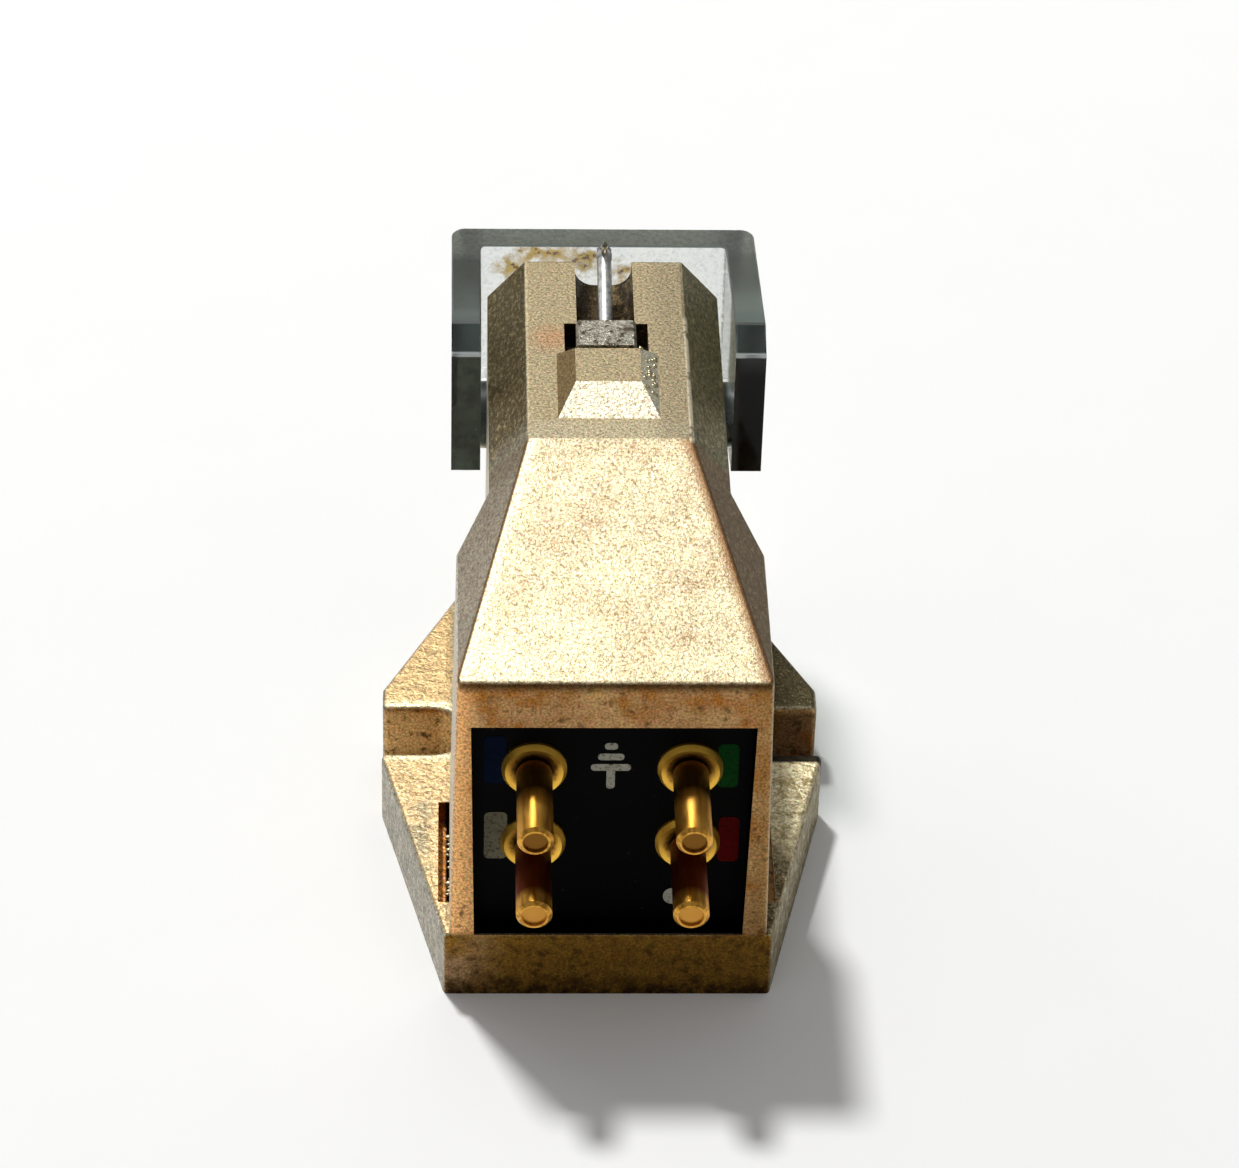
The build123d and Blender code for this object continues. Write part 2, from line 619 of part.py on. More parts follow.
def build_parts():
    """Every sub-part by its node name."""
    parts = {
        "body_housing": body_housing(),
        "pin_plate": pin_plate(),
        "front_yoke": front_yoke(),
        "magnet": magnet(),
        "rear_yoke": rear_yoke(),
        "pole_piece": pole_piece(),
        "set_screw": set_screw(),
        "suspension_wire": suspension_wire(),
        "damper": damper(),
        "armature": armature(),
        "coil_left": coil(45),
        "coil_right": coil(135),
        "cantilever": cantilever(),
        "stylus_tip": stylus_tip(),
        "stylus_guard": stylus_guard(),
    }
    for name, (side, row) in PIN_PLACES.items():
        parts["pin_" + name] = terminal_pin(side, row)
        parts["lead_" + name] = coil_lead(side, row)
    return parts


os.makedirs("parts", exist_ok=True)
for node, solid in build_parts().items():
    export_step(solid, os.path.join("parts", node + ".step"))
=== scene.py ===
"""Looks of a moving-coil phono cartridge that lies on its mounting face, stylus side up.

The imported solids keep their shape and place. This script gives every surface its finish, adds the
painted marks of the terminal panel, old dirt and adhesive and the small damage of the plating, and
sets the light, the floor and the camera. Objects are in metres in the part's frame. Patterns read
that place in millimetres.
"""
from functools import partial
from math import atan2, cos, pi, radians, sin, sqrt
from random import Random

import bpy
from mathutils import Matrix, Vector


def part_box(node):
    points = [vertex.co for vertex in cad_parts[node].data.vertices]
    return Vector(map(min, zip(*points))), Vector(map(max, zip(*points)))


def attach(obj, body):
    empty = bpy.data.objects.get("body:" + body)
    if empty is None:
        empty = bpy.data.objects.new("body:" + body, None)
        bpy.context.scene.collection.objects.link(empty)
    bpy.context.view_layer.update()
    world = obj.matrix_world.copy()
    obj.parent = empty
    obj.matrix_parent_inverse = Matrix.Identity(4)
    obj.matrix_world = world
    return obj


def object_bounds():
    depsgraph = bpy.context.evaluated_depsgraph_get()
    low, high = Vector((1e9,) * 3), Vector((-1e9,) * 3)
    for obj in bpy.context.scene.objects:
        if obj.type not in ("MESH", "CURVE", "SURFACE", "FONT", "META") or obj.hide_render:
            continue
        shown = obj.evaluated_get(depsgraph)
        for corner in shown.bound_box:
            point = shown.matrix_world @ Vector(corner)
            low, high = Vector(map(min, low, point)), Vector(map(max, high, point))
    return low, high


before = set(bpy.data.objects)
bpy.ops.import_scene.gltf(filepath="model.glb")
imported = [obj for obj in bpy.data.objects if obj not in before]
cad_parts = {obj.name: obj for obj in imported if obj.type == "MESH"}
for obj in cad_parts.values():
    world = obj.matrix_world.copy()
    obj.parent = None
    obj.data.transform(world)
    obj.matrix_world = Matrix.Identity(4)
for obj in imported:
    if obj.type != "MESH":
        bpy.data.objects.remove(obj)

CAD_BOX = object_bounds()
MM = 0.001
SAME_PLACE = MM / 1000

# Width of one band of a wave texture of scale 1, along an axis and along the diagonal.
WAVE_BAND = pi / 10
WAVE_BAND_DIAGONAL = pi / 5 / sqrt(3)

# Camera, as the photograph was taken: angles in degrees, places in millimetres.
VIEW_YAW = 2.574
VIEW_PITCH = 38.445
VIEW_ROLL = 1.775
VIEW_DISTANCE = 190.12
VIEW_TARGET = (0.751, 5.083, 5.820)
LENS = 145.96
SENSOR_WIDTH = 36.0

# Light: a small lamp high over the nose, a softer one low at its left, and a dim room. Metres, watts.
KEY_DIRECTION = (-0.207, 0.382, 0.901)
KEY_DISTANCE = 0.9
KEY_WIDTH = 0.1
KEY_POWER = 5.75
FILL_PLACE = (-0.40, 0.40, 0.15)
FILL_WIDTH = 0.25
FILL_POWER = 0.35
ROOM_LOW = 0.14
ROOM_HIGH = 0.42
FLOOR_WIDTH = 3.0

# Stylus guard's front wall and the sloping corner at the end of each arm, millimetres.
GUARD_FRONT_WALL = 1.15
GUARD_END_CHAMFER = 0.86

# Painted marks on the terminal panel: place across and up, width and height in millimetres, colour. The
# colours are darker than the paints, as painted shade.
PAINT_THICKNESS = 0.018
PAINT_CORNER = 0.2
PAINT_CORNER_STEPS = 5
PAINT_PATCHES = {
    "mark_blue": (-4.10, 10.38, 0.77, 2.15, "#04142E"),
    "mark_white": (-4.05, 6.88, 0.81, 2.16, "#7E7A64"),
    "mark_green": (4.05, 10.12, 0.73, 1.97, "#0C4414"),
    "mark_red": (4.18, 6.71, 0.74, 2.07, "#5E0404"),
}

# Earth sign: foot of its stem, width and height of the stem, length and rise of each bar. The stem's
# paint is thinner than the bars', and ends are rounded by a share of a stroke's width.
EARTH_PLACE = (-0.05, 9.06)
EARTH_STEM = (0.30, 1.00)
EARTH_STEM_THICKNESS = 0.8 * PAINT_THICKNESS
EARTH_BARS = ((1.40, 0.98), (0.92, 1.46), (0.46, 1.94))
EARTH_STROKE = 0.30
EARTH_PAINT = "#B9B6A6"
ROUND_END = 0.45

# Dot beside the right pin at the base: place across and up, and width, millimetres.
DOT_PLACE = (2.32, 4.02)
DOT_WIDTH = 0.75

# Blisters in the plating on the right side of the boss: foot and top of that side, millimetres.
BOSS_SIDE_X = (1.83, 1.18)
BOSS_SIDE_Z = (17.1, 17.7)
BLISTER_RUN = (1.5, 3.9)
BLISTER_RISE = (0.1, 0.95)
BLISTER_COUNT = 30
BLISTER_RADIUS = (0.045, 0.11)
BLISTER_STRETCH = (1, 1, 0.6)
BLISTER_SEED = 11

# Burrs along the inner edge of the left relief slit, millimetres.
BURR_X = (-5.72, -5.62)
BURR_RUN = (-9.4, -5.9)
BURR_Z = (2.84, 2.93)
BURR_COUNT = 18
BURR_RADIUS = (0.05, 0.10)
BURR_STRETCH = (1.5, 0.8, 0.7)
BURR_SEED = 5

# Dirt packed in the right relief slit: its lowest and highest corner, sunk into the slit's walls, mm.
SLIT_DIRT = ((5.54, -9.57, 1.93), (6.08, -4.08, 2.80))

# Bead of cured adhesive round the stylus shank: place on the cantilever and radius, millimetres.
ADHESIVE_PLACE = (0.0, 9.40, 17.88)
ADHESIVE_RADIUS = 0.31
ADHESIVE_STRETCH = (1, 1.15, 0.95)
ADHESIVE_SEED = 3

# How far the skin of a bead is pushed in and out, as a share of its radius.
BEAD_UNEVENNESS = 0.2


def linear(code):
    """Linear RGBA of an sRGB hex colour."""
    shares = [int(code[i:i + 2], 16) / 255 for i in (1, 3, 5)]
    return [s / 12.92 if s <= 0.04045 else ((s + 0.055) / 1.055) ** 2.4 for s in shares] + [1.0]


def node(tree, kind, inputs, output=0, **settings):
    """Adds a shader node, sets or links its inputs by name or number, and returns one output."""
    made = tree.nodes.new("ShaderNode" + kind)
    for name, value in settings.items():
        setattr(made, name, value)
    for name, value in inputs.items():
        if isinstance(value, bpy.types.NodeSocket):
            tree.links.new(value, made.inputs[name])
        else:
            made.inputs[name].default_value = value
    return made.outputs[output] if made.outputs else made


def surface(name):
    """New material. Returns it, what adds its nodes, the place in mm and the way the face looks."""
    material = bpy.data.materials.new(name)
    material.use_nodes = True
    tree = material.node_tree
    tree.nodes.clear()
    add = partial(node, tree)
    metres = add("TexCoord", {}, "Object")
    place = add("VectorMath", {0: metres, "Scale": 1 / MM}, operation="SCALE")
    facing = add("TexCoord", {}, "Normal")
    return material, add, place, facing


def zone(add, values, limits, strength=1.0):
    """Share of the surface inside a zone: each value it lists runs from none of it to all of it."""
    share = strength
    for name, none, full in limits:
        share = add("MapRange", {"Value": values[name], "From Min": none, "From Max": full, "To Max": share})
    return share


def blend(add, share, color, over):
    """Colour with a share of another over it."""
    return add("Mix", {0: share, 6: color, 7: over}, 2, data_type="RGBA")


def lay_zones(add, values, zones, color):
    """Colour with a list of zones laid over it in order: limits, colour and strength of each."""
    for limits, code, strength in zones:
        color = blend(add, zone(add, values, limits, strength), color, linear(code))
    return color


def away_from(add, value, middle):
    """Distance of a value from the middle of a band."""
    return add("Math", {0: add("Math", {0: value, 1: middle}, operation="SUBTRACT")}, operation="ABSOLUTE")


def read_surface(add, place, facing):
    """Values that zones are bounded by: place in mm, facing, and their size on either side."""
    at = add("SeparateXYZ", {"Vector": place}).node.outputs
    face = add("SeparateXYZ", {"Vector": facing}).node.outputs
    values = {"x": at["X"], "y": at["Y"], "z": at["Z"], "nx": face["X"], "ny": face["Y"], "nz": face["Z"]}
    values["off"] = away_from(add, at["X"], 0.0)
    values["side"] = away_from(add, face["X"], 0.0)
    return values


# Zones of the casting, laid over each other in this order: limits, colour and strength.
REAR = ("ny", -0.6, -0.9)
ON_BOX = ("z", 2.75, 3.05)
ON_BASE = ("z", 2.95, 2.75)
BASE_FRONT = ("y", -11.0, -11.2)
LEFT_EAR = (("x", -5.5, -5.7), ("nz", 0.6, 0.9), ("z", 3.2, 3.0))
RIGHT_EAR = (("x", 5.5, 5.7), ("nz", 0.6, 0.9), ("z", 3.2, 3.0))
CHAMFER = (("nz", 0.4, 0.55), ("off", 2.3, 2.7), ("y", -2.4, 0.6))
SLIT = (("off", 5.45, 5.55), ("off", 6.12, 6.06), ("z", 2.92, 2.80), ("slit", 2.80, 2.72))
GROOVE = (("off", 1.62, 1.50), ("y", 4.1, 4.3), ("z", 17.08, 16.95), ("ny", 0.8, 0.5))
DECK = (("nz", 0.94, 0.96), ("y", -0.7, -1.0), ("z", 13.5, 14.0))
DECK_RIM = (("nz", 0.6, 0.7), ("y", -0.6, -1.0), ("z", 13.5, 14.0))
CASTING_ZONES = (
    # Side walls silver grey; the right side painted duller as painted shade, and duller towards the nose.
    ((("side", 0.5, 0.8),), "#CEC8B8", 1.0),
    ((("nx", 0.4, 0.7), ("nz", 0.15, 0.3)), "#646040", 0.95),
    ((("side", 0.5, 0.8), ("z", 3.0, 2.8)), "#ACA799", 1.0),
    ((("nx", 0.4, 0.7), ("z", 3.0, 2.8)), "#807248", 0.9),
    ((("nx", -0.4, -0.6), ("nz", 0.15, 0.3), ("y", -6.5, -1.5)), "#A8A492", 0.9),
    # Top of the nose painted darker olive as painted shade, reddish beside the well.
    ((("nz", 0.94, 0.985), ("y", -1.1, -0.7)), "#A49575", 0.85),
    ((("nz", 0.94, 0.985), ("y", -1.1, -0.7), ("y", 0.4, 0.1)), "#B2A88E", 0.6),
    ((("nz", 0.94, 0.985), ("y", -1.1, -0.7), ("x", 1.4, 2.2)), "#94886E", 0.6),
    ((("nz", 0.9, 0.98), ("well", 1.1, 0.2)), "#B4825E", 0.55),
    # Long chamfers of the nose, painted dark as painted shade under the smoked guard.
    ((("nx", -0.5, -0.7),) + CHAMFER, "#5C4E2C", 1.0),
    ((("nx", 0.5, 0.7),) + CHAMFER, "#7E7858", 1.0),
    # Brown and gold grain over all the sides.
    ((("side", 0.4, 0.6), ("mottle", 0.52, 0.36)), "#3E3424", 0.45),
    ((("side", 0.4, 0.6), ("mottle", 0.52, 0.68)), "#BCAC86", 0.45),
    # Edges of the ears, pale and dark in patches. Rear corners of the box, painted highlights, pink gold on
    # the left.
    ((("side", 0.5, 0.8), ("z", 3.0, 2.8), ("spots", 0.50, 0.64)), "#DEDACE", 0.4),
    ((("side", 0.5, 0.8), ("z", 3.0, 2.8), ("spots", 0.46, 0.36)), "#6E685C", 0.35),
    ((("x", -4.9, -5.1), ("nx", -0.3, -0.6), ("y", -9.6, -10.8), ("z", 2.8, 3.0)), "#DCB890", 0.8),
    ((("x", 4.9, 5.1), ("nx", 0.3, 0.6), ("y", -9.6, -10.8), ("z", 2.8, 3.0)), "#A08C68", 0.8),
    # Boss: slope painted bright as a painted highlight, left side brown as painted shade, right side pale to
    # lift its shade.
    ((("ny", -0.28, -0.36), ("y", -0.6, 0.2), ("nz", 0.7, 0.85)), "#E6DCC2", 0.9),
    ((("nx", -0.3, -0.5), ("off", 2.2, 2.0), ("z", 16.9, 17.05), ("y", 4.4, 4.25)), "#7E6842", 0.95),
    ((("nx", 0.3, 0.5), ("off", 2.2, 2.0), ("z", 16.9, 17.05), ("y", 4.4, 4.25)), "#FFF8DC", 0.95),
    # Ears: the left gold with a dull patch, palest by its slot as a painted highlight; the right painted pale
    # to lift its shade, with ochre and brown stains, darker at the front.
    (LEFT_EAR, "#D0B282", 0.9),
    (LEFT_EAR + (("middle", 1.85, 1.55),), "#FFEFC4", 0.8),
    (LEFT_EAR + (("x", -6.2, -6.6), ("tone", 0.46, 0.60), ("y", -3.2, -4.2)), "#9C9276", 0.8),
    (RIGHT_EAR + (("y", -1.0, -1.6),), "#F8E6BC", 1.0),
    (RIGHT_EAR + (("y", -1.0, -1.6), ("spots", 0.48, 0.60)), "#8C7A34", 0.6),
    (RIGHT_EAR + (("y", -6.9, -7.6), ("spots", 0.38, 0.52)), "#54401C", 0.8),
    (RIGHT_EAR + (("y", -5.8, -6.6), ("x", 6.6, 6.2)), "#5A4C28", 0.7),
    (RIGHT_EAR + (("y", 1.0, 1.6),), "#574C34", 0.95),
    # Rear face: copper patina; paler on the left and darker on the right as painted reflections of the lit
    # and shaded floor; darker on the base with dirt and painted shade, darkest by the floor as painted shade;
    # a dark painted reflection along its top edge.
    ((REAR, ("tone", 0.25, 0.75)), "#BE8C46", 1.0),
    ((REAR, ("tone", 0.62, 0.38)), "#A46C2E", 1.0),
    ((REAR, ("x", -4.6, -5.3), ON_BOX), "#F0B878", 0.95),
    ((REAR, ("x", 4.6, 5.3), ON_BOX), "#9C7644", 0.7),
    ((REAR, ON_BASE, BASE_FRONT), "#8A6628", 1.0),
    ((REAR, ON_BASE, BASE_FRONT, ("x", -3.5, -5.5), ("tone", 0.40, 0.60)), "#B0927A", 0.5),
    ((REAR, ON_BASE, BASE_FRONT, ("spots", 0.42, 0.70)), "#4A3312", 0.7),
    ((REAR, ("z", 1.0, 0.1), BASE_FRONT, ("spots", 0.25, 0.6)), "#22150A", 1.0),
    ((REAR, ("z", 14.0, 14.3)), "#3A2812", 0.8),
    # Mounting slots, brown inside with dark blotches, darker on the right.
    ((("x", -5.0, -5.2), ("middle", 1.5, 1.2), ("z", 2.75, 2.5)), "#CEA96F", 0.9),
    ((("x", -5.0, -5.2), ("middle", 1.5, 1.2), ("z", 2.75, 2.5), ("spots", 0.53, 0.62)), "#2A1A0C", 0.85),
    ((("x", 5.0, 5.2), ("middle", 1.5, 1.2), ("z", 2.75, 2.5), ("ny", 0.0, -0.4)), "#3A1202", 1.0),
    ((("x", 5.0, 5.2), ("middle", 1.5, 1.2), ("z", 2.75, 2.5), ("spots", 0.50, 0.62)), "#140A04", 0.9),
    # Relief slits, painted bright brown inside and paler on the right to lift the shade in them.
    (SLIT, "#D8924A", 1.0),
    (SLIT + (("x", 5.4, 5.5),), "#FFE8B8", 1.0),
    # Groove and well painted dark as painted shade, with lighter spots that are lightest on the right,
    # painted light.
    (GROOVE, "#352A1C", 0.97),
    (GROOVE + (("x", 0.1, 0.5), ("spots", 0.46, 0.60)), "#8C7854", 0.8),
    (GROOVE + (("x", -0.1, -0.5), ("spots", 0.50, 0.62)), "#6A5A3E", 0.7),
    # Deck in pale and pinkish clouds, palest at the rear on the left, with a painted highlight inside its
    # left edge.
    (DECK + (("tone", 0.60, 0.36),), "#AC8E6C", 0.4),
    (DECK + (("tone", 0.44, 0.66),), "#D8CAA0", 0.5),
    (DECK + (("x", 2.5, -3.5), ("y", -7.0, -10.0)), "#E6DAB0", 0.6),
    (DECK + (("left_edge", -0.45, -0.2),), "#F0E6C8", 0.5),
)
LATE_ZONES = (
    # Deck edges: a brown band on the right, and a thin dark line on the left as painted shade.
    (DECK_RIM + (("edge", -0.50, -0.12),), "#785432", 0.85),
    (DECK_RIM + (("left_edge", -0.10, -0.02),), "#5A3C18", 0.85),
    # Right edge of the nose, worn bright in places.
    ((("ridge", 0.10, 0.05), ("z", 16.9, 17.0), ("y", -1.0, -0.8), ("y", 6.8, 6.4), ("spots", 0.38, 0.48)),
     "#FFF3D6", 0.9),
    # Glints on the right ear.
    (RIGHT_EAR + (("y", -1.8, -2.1), ("y", -5.6, -4.8), ("grain", 0.63, 0.68)), "#FFFFF4", 1.0),
    # Painted shade in black: a line behind the right mounting slot, the inner side of the left slit, the
    # opening for the panel.
    ((("x", 5.3, 5.6), ("slot_shade_line", 0.42, 0.30), ("z", 1.9, 2.2)), "#0A0604", 0.97),
    (SLIT + (("x", -5.86, -5.76),), "#040302", 1.0),
    ((("off", 5.1, 5.0), ("y", -11.27, -11.18), ("y", -10.2, -10.4), ("z", 12.6, 12.5), ("ny", -0.9, -0.4)),
     "#050505", 1.0),
)

# Places on the casting, millimetres. The deck's edges start at the rear and run in towards the nose.
DECK_EDGE_REAR = (5.45, -11.3)
DECK_EDGE_SLOPE = 2.53 / 10.5
NOSE_RIDGE_X = 2.92
SLOT_SHADE_LINE_Y = -1.45
SLOTS_Y = 0.0
SLITS_Y = -6.825
WELL_STAIN = (-1.95, 5.3, 17.1)

# Height of the crinkles on the ears, as a multiple of the grain's.
EAR_CRINKLE = 5.0


def mark_casting(add, place, values):
    """More values of the casting: its grain, clouds and spots, and distances from the places its zones mark.
    """
    values["grain"] = add("TexNoise", {"Vector": place, "Scale": 1 / 0.12, "Detail": 2.0, "Roughness": 0.6})
    values["tone"] = add("TexNoise", {"Vector": place, "Scale": 1 / 1.9, "Detail": 3.0, "Roughness": 0.55})
    along = add("Mapping", {"Vector": place, "Scale": (1.0, 0.5, 1.0)})
    values["mottle"] = add("TexNoise", {"Vector": along, "Scale": 1 / 0.13, "Detail": 2.0, "Roughness": 0.6})
    values["spots"] = add("TexNoise", {"Vector": place, "Scale": 1 / 0.45, "Detail": 4.0, "Roughness": 0.65})
    cells = add("TexNoise", {"Vector": place, "Scale": 1 / 0.26, "Detail": 1.0, "Distortion": 0.4})
    values["vein"] = away_from(add, cells, 0.5)
    values["fine"] = add("TexNoise", {"Vector": place, "Scale": 1 / 0.06, "Detail": 1.0})
    values["rear"] = zone(add, values, [REAR])
    values["ridge"] = away_from(add, values["x"], NOSE_RIDGE_X)
    values["slot_shade_line"] = away_from(add, values["y"], SLOT_SHADE_LINE_Y)
    values["middle"] = away_from(add, values["y"], SLOTS_Y)
    values["slit"] = away_from(add, values["y"], SLITS_Y)
    values["well"] = add("VectorMath", {0: place, 1: WELL_STAIN}, "Value", operation="DISTANCE")
    edge_x, edge_y = DECK_EDGE_REAR
    line = add("Math", {0: values["y"], 1: edge_y}, operation="SUBTRACT")
    line = add("Math", {0: line, 1: DECK_EDGE_SLOPE, 2: -edge_x}, operation="MULTIPLY_ADD")
    values["edge"] = add("Math", {0: line, 1: values["x"]}, operation="ADD")
    values["left_edge"] = add("Math", {0: line, 1: values["x"]}, operation="SUBTRACT")


def plating_color(add, place, values):
    """Colour of the plating: two golds in soft clouds, the zones over them, then grain with painted glints,
    and the late zones.
    """
    color = blend(add, values["tone"], linear("#B0A182"), linear("#D2C6A6"))
    color = lay_zones(add, values, CASTING_ZONES, color)
    tint = add("TexNoise", {"Vector": place, "Scale": 1 / 0.08, "Detail": 2.0, "Roughness": 0.7}, "Color")
    tint = add("VectorMath", {0: tint, 1: (0.8, 0.8, 0.8), 2: (0.6, 0.6, 0.6)}, operation="MULTIPLY_ADD")
    speckle = add("TexNoise", {"Vector": place, "Scale": 1 / 0.1, "Detail": 2.0, "Roughness": 0.7})
    speckle = add("MapRange", {
        "Value": speckle, "From Min": 0.36, "From Max": 0.64, "To Min": 0.6, "To Max": 1.4,
    })
    for share in (tint, speckle):
        color = add("Mix", {0: 1.0, 6: color, 7: share}, 2, data_type="RGBA", blend_type="MULTIPLY")
    veins = [("vein", 0.05, 0.01), ("grain", 0.60, 0.46), ("ny", -0.1, -0.2), ("nz", 0.7, 0.9)]
    color = blend(add, zone(add, values, veins, 0.6), color, linear("#6A5026"))
    color = blend(add, zone(add, values, [("grain", 0.40, 0.32)], 0.4), color, linear("#5C4526"))
    # Painted glints: the high points of the grain paled on faces that look up, and pale specks of the fine
    # grain.
    glinting_peaks = zone(add, values, [("grain", 0.56, 0.68), ("nz", 0.90, 0.96), ("y", -0.6, -1.0)], 0.5)
    color = blend(add, glinting_peaks, color, linear("#F4ECD8"))
    glints = zone(add, values, [("fine", 0.66, 0.72), ("nz", 0.5, 0.6), ("rear", 1.0, 0.0)], 0.4)
    color = blend(add, glints, color, linear("#E8DDBE"))
    color = blend(add, zone(add, values, [REAR, ("spots", 0.57, 0.68)], 0.7), color, linear("#4A2F17"))
    return lay_zones(add, values, LATE_ZONES, color)


def plated_casting():
    """Die casting, bead blasted and plated champagne gold.

    The blast leaves a matt grain of pits and high points, whose glitter is painted as pale specks. Age gives
    the rear face a copper patina with brown spots; the side walls are silver grey, and dirt and painted shade
    darken the base. Much of the light and shade on the casting is painted into its zones.
    """
    material, add, place, facing = surface("blasted_champagne_plated_casting")
    values = read_surface(add, place, facing)
    mark_casting(add, place, values)
    color = plating_color(add, place, values)
    rough = add("MapRange", {"Value": values["grain"], "To Min": 0.46, "To Max": 0.60})
    crinkle = add("TexNoise", {"Vector": place, "Scale": 1 / 0.36, "Detail": 3.0, "Distortion": 0.8})
    on_ear = zone(add, values, [("off", 5.5, 5.8), ("z", 3.2, 3.0), ("nz", 0.5, 0.9)], EAR_CRINKLE)
    height = add("Math", {0: crinkle, 1: on_ear, 2: values["grain"]}, operation="MULTIPLY_ADD")
    height = add("Math", {0: values["fine"], 1: 0.4, 2: height}, operation="MULTIPLY_ADD")
    bump = add("Bump", {"Height": height, "Strength": 1.0, "Distance": 0.013 * MM})
    shader = add("BsdfPrincipled", {"Base Color": color, "Metallic": 1.0, "Roughness": rough, "Normal": bump})
    add("OutputMaterial", {"Surface": shader})
    return material


def moulded_panel():
    """Black phenolic moulding: nearly black and matt, with a faint mould grain and pale dust."""
    material, add, place, _ = surface("black_phenolic_moulding")
    grain = add("TexNoise", {"Vector": place, "Scale": 1 / 0.12, "Detail": 3.0})
    dust = add("TexNoise", {"Vector": place, "Scale": 1 / 0.22, "Detail": 2.0})
    specks = add("MapRange", {"Value": dust, "From Min": 0.72, "From Max": 0.80, "To Max": 0.15})
    color = blend(add, grain, linear("#020202"), linear("#060606"))
    color = blend(add, specks, color, linear("#55534E"))
    bump = add("Bump", {"Height": grain, "Strength": 0.6, "Distance": 0.006 * MM})
    shader = add("BsdfPrincipled", {
        "Base Color": color, "Roughness": 0.5, "Specular IOR Level": 0.03, "Normal": bump,
    })
    add("OutputMaterial", {"Surface": shader})
    return material


# Zones of the terminal pins. A ring is a distance from the axis of a pin, millimetres.
PIN_ZONES = (
    # Shank painted dark red-brown near the panel as painted shade, further along on the two pins at the base.
    ((("y", -12.8, -12.2), ("y", -10.9, -11.1)), "#220E04", 0.94),
    ((("z", 8.6, 8.2), ("y", -14.0, -13.6), ("y", -10.9, -11.1)), "#64140A", 0.92),
    # Collar, painted brighter at its edge as a painted highlight, with its dish painted brown as painted
    # shade.
    ((("ring", 0.80, 0.90), ("y", -11.2, -11.0)), "#FFCB52", 1.0),
    ((("ring", 0.82, 0.60), ("y", -11.2, -11.0)), "#30160A", 0.95),
    # Cup in the free end, paler on the pins at the base.
    ((("ring", 0.47, 0.43), ("ny", -0.9, -0.97), ("y", -13.9, -14.2)), "#76501E", 1.0),
    ((("ring", 0.47, 0.43), ("ny", -0.9, -0.97), ("y", -13.9, -14.2), ("z", 8.6, 8.2)), "#C08A3C", 1.0),
)


def gold_plate():
    """Turned brass plated with gold: polished, with turning rings, a brown cupped end, painted shade on the
    shank and in the collar's dish, and a painted highlight on the collar's edge.

    The rings, 0.024 mm apart, spread the lamp's streak.
    """
    material, add, place, facing = surface("polished_gold_plated_brass")
    values = read_surface(add, place, facing)
    low, high = (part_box("pin_left_" + row) for row in ("signal", "return"))
    middles = [(box[0] + box[1]) / (2 * MM) for box in (low, high)]
    flat = add("CombineXYZ", {"X": values["off"], "Z": values["z"]})
    gaps = []
    for middle in middles:
        gaps.append(add("VectorMath", {0: flat, 1: (-middle.x, 0, middle.z)}, "Value", operation="DISTANCE"))
    values["ring"] = add("Math", {0: gaps[0], 1: gaps[1]}, operation="MINIMUM")
    tone = add("TexNoise", {"Vector": place, "Scale": 1 / 0.6, "Detail": 1.0})
    waves = {"Vector": place, "Scale": WAVE_BAND / 0.02356, "Distortion": 0.4}
    rings = add("TexWave", waves, "Fac", bands_direction="Y")
    streaks = add("Mapping", {"Vector": place, "Scale": (7.0, 0.6, 7.0)})
    values["drawn"] = add("TexNoise", {"Vector": streaks, "Scale": 1.0, "Detail": 3.0})
    color = blend(add, tone, linear("#CE9230"), linear("#EBB456"))
    color = blend(add, zone(add, values, [("drawn", 0.48, 0.62)], 0.6), color, linear("#8A5A1A"))
    color = lay_zones(add, values, PIN_ZONES, color)
    rough = add("MapRange", {"Value": tone, "From Min": 0.3, "From Max": 0.7, "To Min": 0.3, "To Max": 0.4})
    rough = add("Math", {0: rough, 1: zone(add, values, [("y", -11.4, -11.1)], 0.1)}, operation="ADD")
    on_shank = zone(add, values, [("y", -11.1, -11.3)])
    rings = add("Math", {0: rings, 1: on_shank}, operation="MULTIPLY")
    bump = add("Bump", {"Height": rings, "Strength": 1.0, "Distance": 0.0025 * MM})
    shader = add("BsdfPrincipled", {"Base Color": color, "Metallic": 1.0, "Roughness": rough, "Normal": bump})
    add("OutputMaterial", {"Surface": shader})
    return material


def soft_iron():
    """Ground soft iron gone rough: grey and pitted, with dark rust and bright chips."""
    material, add, place, _ = surface("ground_soft_iron")
    grain = add("TexNoise", {"Vector": place, "Scale": 1 / 0.14, "Detail": 4.0, "Roughness": 0.7})
    rust = add("TexNoise", {"Vector": place, "Scale": 1 / 0.3, "Detail": 3.0, "Roughness": 0.6})
    values = {"grain": grain, "rust": rust}
    color = blend(add, grain, linear("#38342A"), linear("#D4CEBC"))
    color = blend(add, zone(add, values, [("rust", 0.50, 0.62)], 0.85), color, linear("#3A2E1C"))
    color = blend(add, zone(add, values, [("grain", 0.60, 0.66)], 0.9), color, linear("#F2EEDD"))
    rough = add("MapRange", {
        "Value": grain, "From Min": 0.3, "From Max": 0.7, "To Min": 0.55, "To Max": 0.28,
    })
    bump = add("Bump", {"Height": grain, "Strength": 1.0, "Distance": 0.05 * MM})
    shader = add("BsdfPrincipled", {"Base Color": color, "Metallic": 1.0, "Roughness": rough, "Normal": bump})
    add("OutputMaterial", {"Surface": shader})
    return material


